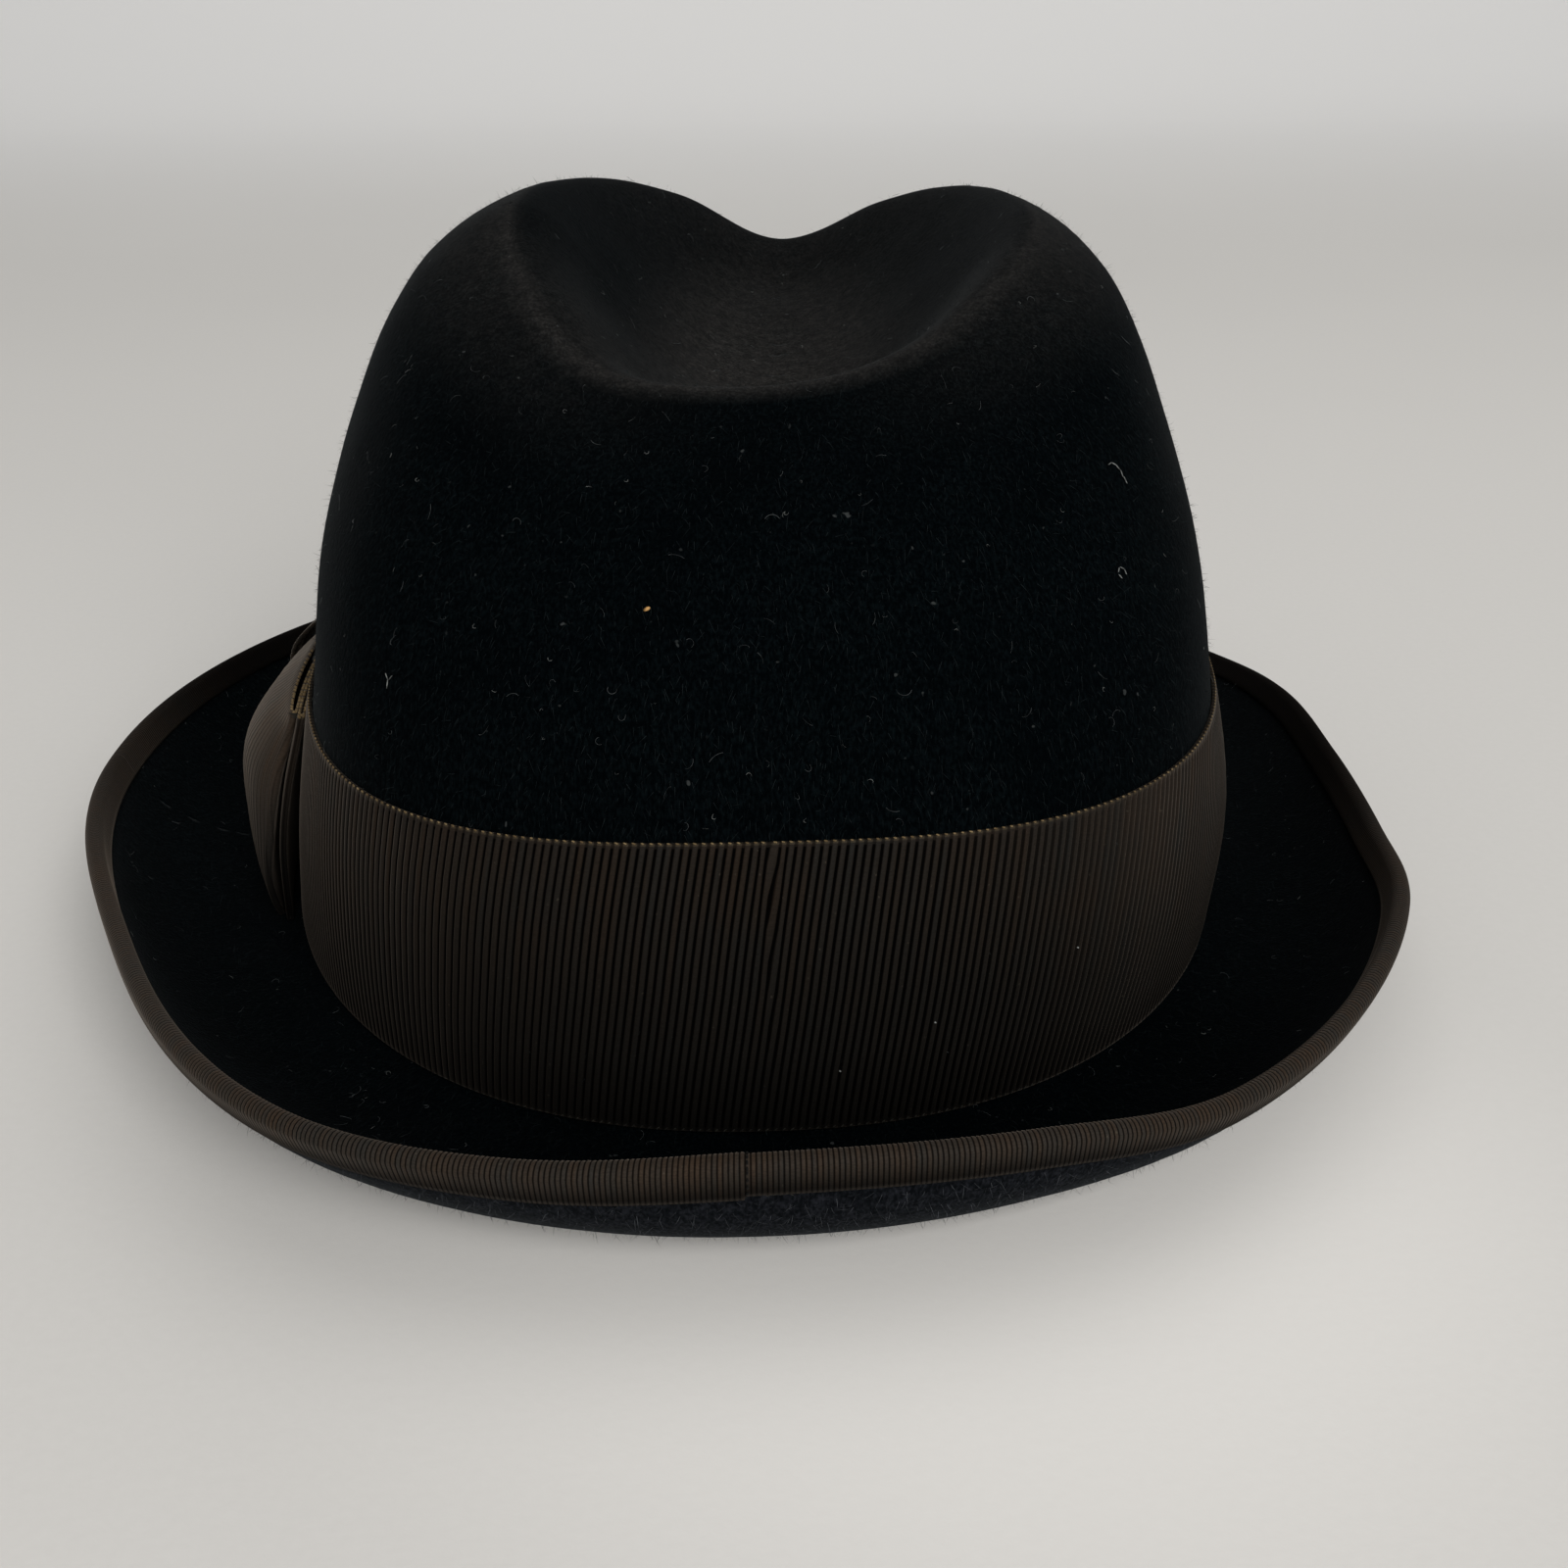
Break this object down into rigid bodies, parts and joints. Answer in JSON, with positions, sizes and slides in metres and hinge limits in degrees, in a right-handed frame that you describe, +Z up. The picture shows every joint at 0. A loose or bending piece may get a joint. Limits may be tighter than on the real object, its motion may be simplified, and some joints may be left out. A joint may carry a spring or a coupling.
{
  "type": "felt hat",
  "caption": "Soft felt hat with a centre-creased crown, a rolled brim with a bound edge, and a ribbed ribbon band with a side bow.",
  "frame": {"origin": "on the surface that the hat rests on, under the middle of its outer box", "axes": "+Z up, the front of the hat towards -Y, the wearer's left (the side with the bow) towards +X"},
  "size_m": [0.2378, 0.2726, 0.1237],
  "materials": {
    "felt": "blue-black fur felt with a short nap",
    "ribbon": "dark brown ribbed grosgrain with a soft sheen"
  },
  "bodies": {
    "root": {"felt_body": "felt", "hatband": "ribbon", "brim_binding": "ribbon", "bow_loop": "ribbon", "bow_under_fold": "ribbon", "bow_front_loop": "ribbon", "bow_knot": "ribbon"}
  },
  "joints": []
}
